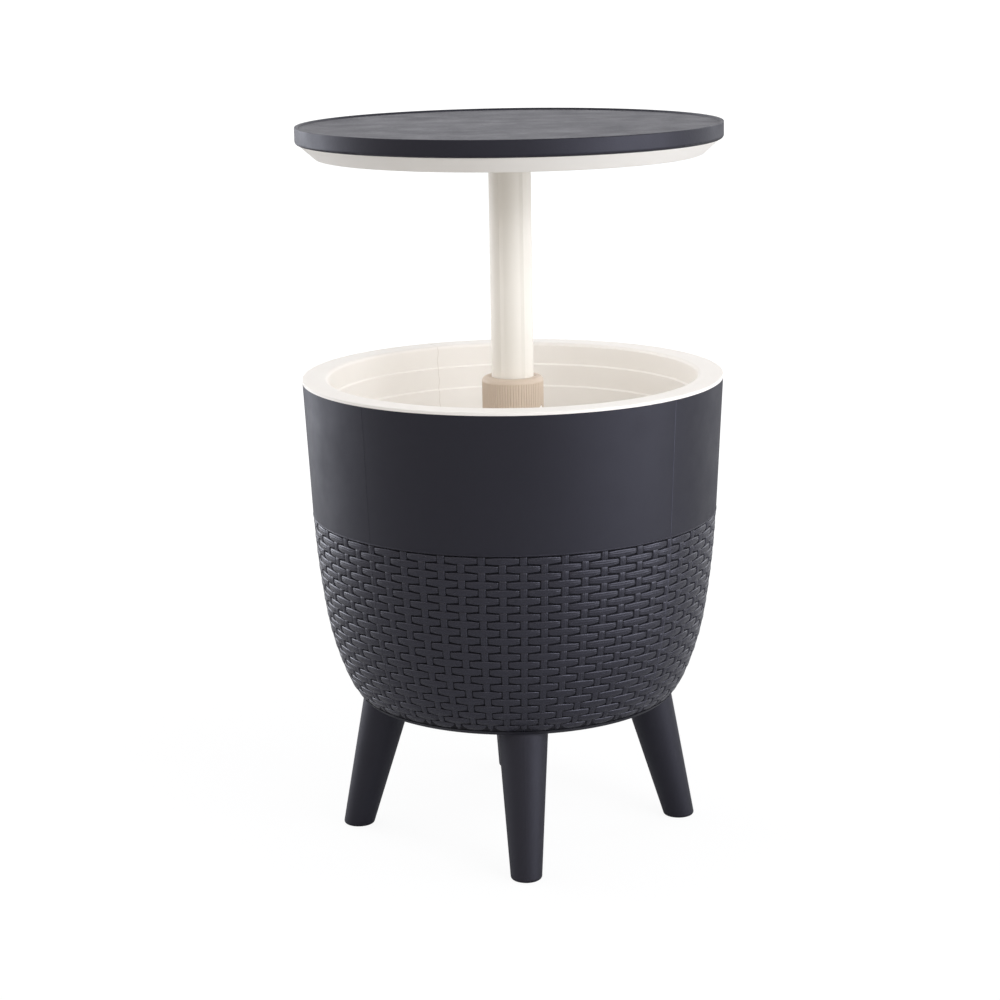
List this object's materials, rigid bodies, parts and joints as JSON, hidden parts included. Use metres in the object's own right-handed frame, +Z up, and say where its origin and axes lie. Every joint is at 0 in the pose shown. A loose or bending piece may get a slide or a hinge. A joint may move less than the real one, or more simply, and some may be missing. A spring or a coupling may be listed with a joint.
{
  "type": "cooler table with lifting lid",
  "caption": "Round outdoor side table on splayed legs whose top lifts on a telescopic mast to open a drinks cooler tub and clamps at bar height.",
  "frame": {"origin": "on the floor under the middle of the tub", "axes": "+Z up along the mast; the legs stand on the X and Y axes, leg_front towards -Y"},
  "size_m": [0.4963, 0.4964, 0.85],
  "materials": {
    "dark_resin": "moulded polypropylene, fine satin texture, graphite",
    "white_resin": "moulded polypropylene, smooth satin, warm white",
    "taupe_resin": "moulded polypropylene, matt, fine upright ribs",
    "acetal": "natural acetal, smooth",
    "grey_resin": "moulded polypropylene, dark grey",
    "rubber_seal": "black EPDM",
    "screw_steel": "stainless steel"
  },
  "bodies": {
    "tub": {"outer_shell": "dark_resin", "inner_tub": "white_resin", "tub_screws": "screw_steel", "leg_front": "dark_resin", "leg_right": "dark_resin", "leg_back": "dark_resin", "leg_left": "dark_resin", "leg_inserts": "grey_resin", "guide_column": "white_resin", "column_screws": "screw_steel", "guide_bush": "acetal", "clamp_ring": "acetal", "drain_fitting": "grey_resin", "drain_gasket": "rubber_seal", "drain_nut": "grey_resin"},
    "lid": {"mast_tube": "white_resin", "mast_foot": "acetal", "mast_head": "white_resin", "mast_screws": "screw_steel", "lid_pan": "white_resin", "lid_screws": "screw_steel", "table_top": "dark_resin"},
    "collar": {"locking_collar": "taupe_resin"},
    "drain_plug": {"drain_cap": "grey_resin", "cap_washer": "rubber_seal"}
  },
  "joints": [
    {"name": "mast_slide", "type": "slide", "parent": "tub", "child": "lid", "axis": [0, 0, 1], "range_m": [-0.256, 0]},
    {"name": "collar_turn", "type": "hinge", "parent": "tub", "child": "collar", "pos_m": [0, 0, 0.53], "axis": [0, 0, 1], "range_deg": [-60, 0]},
    {"name": "drain_cap_slide", "type": "slide", "parent": "tub", "child": "drain_plug", "axis": [0, 0, 1], "range_m": [-0.012, 0]}
  ]
}
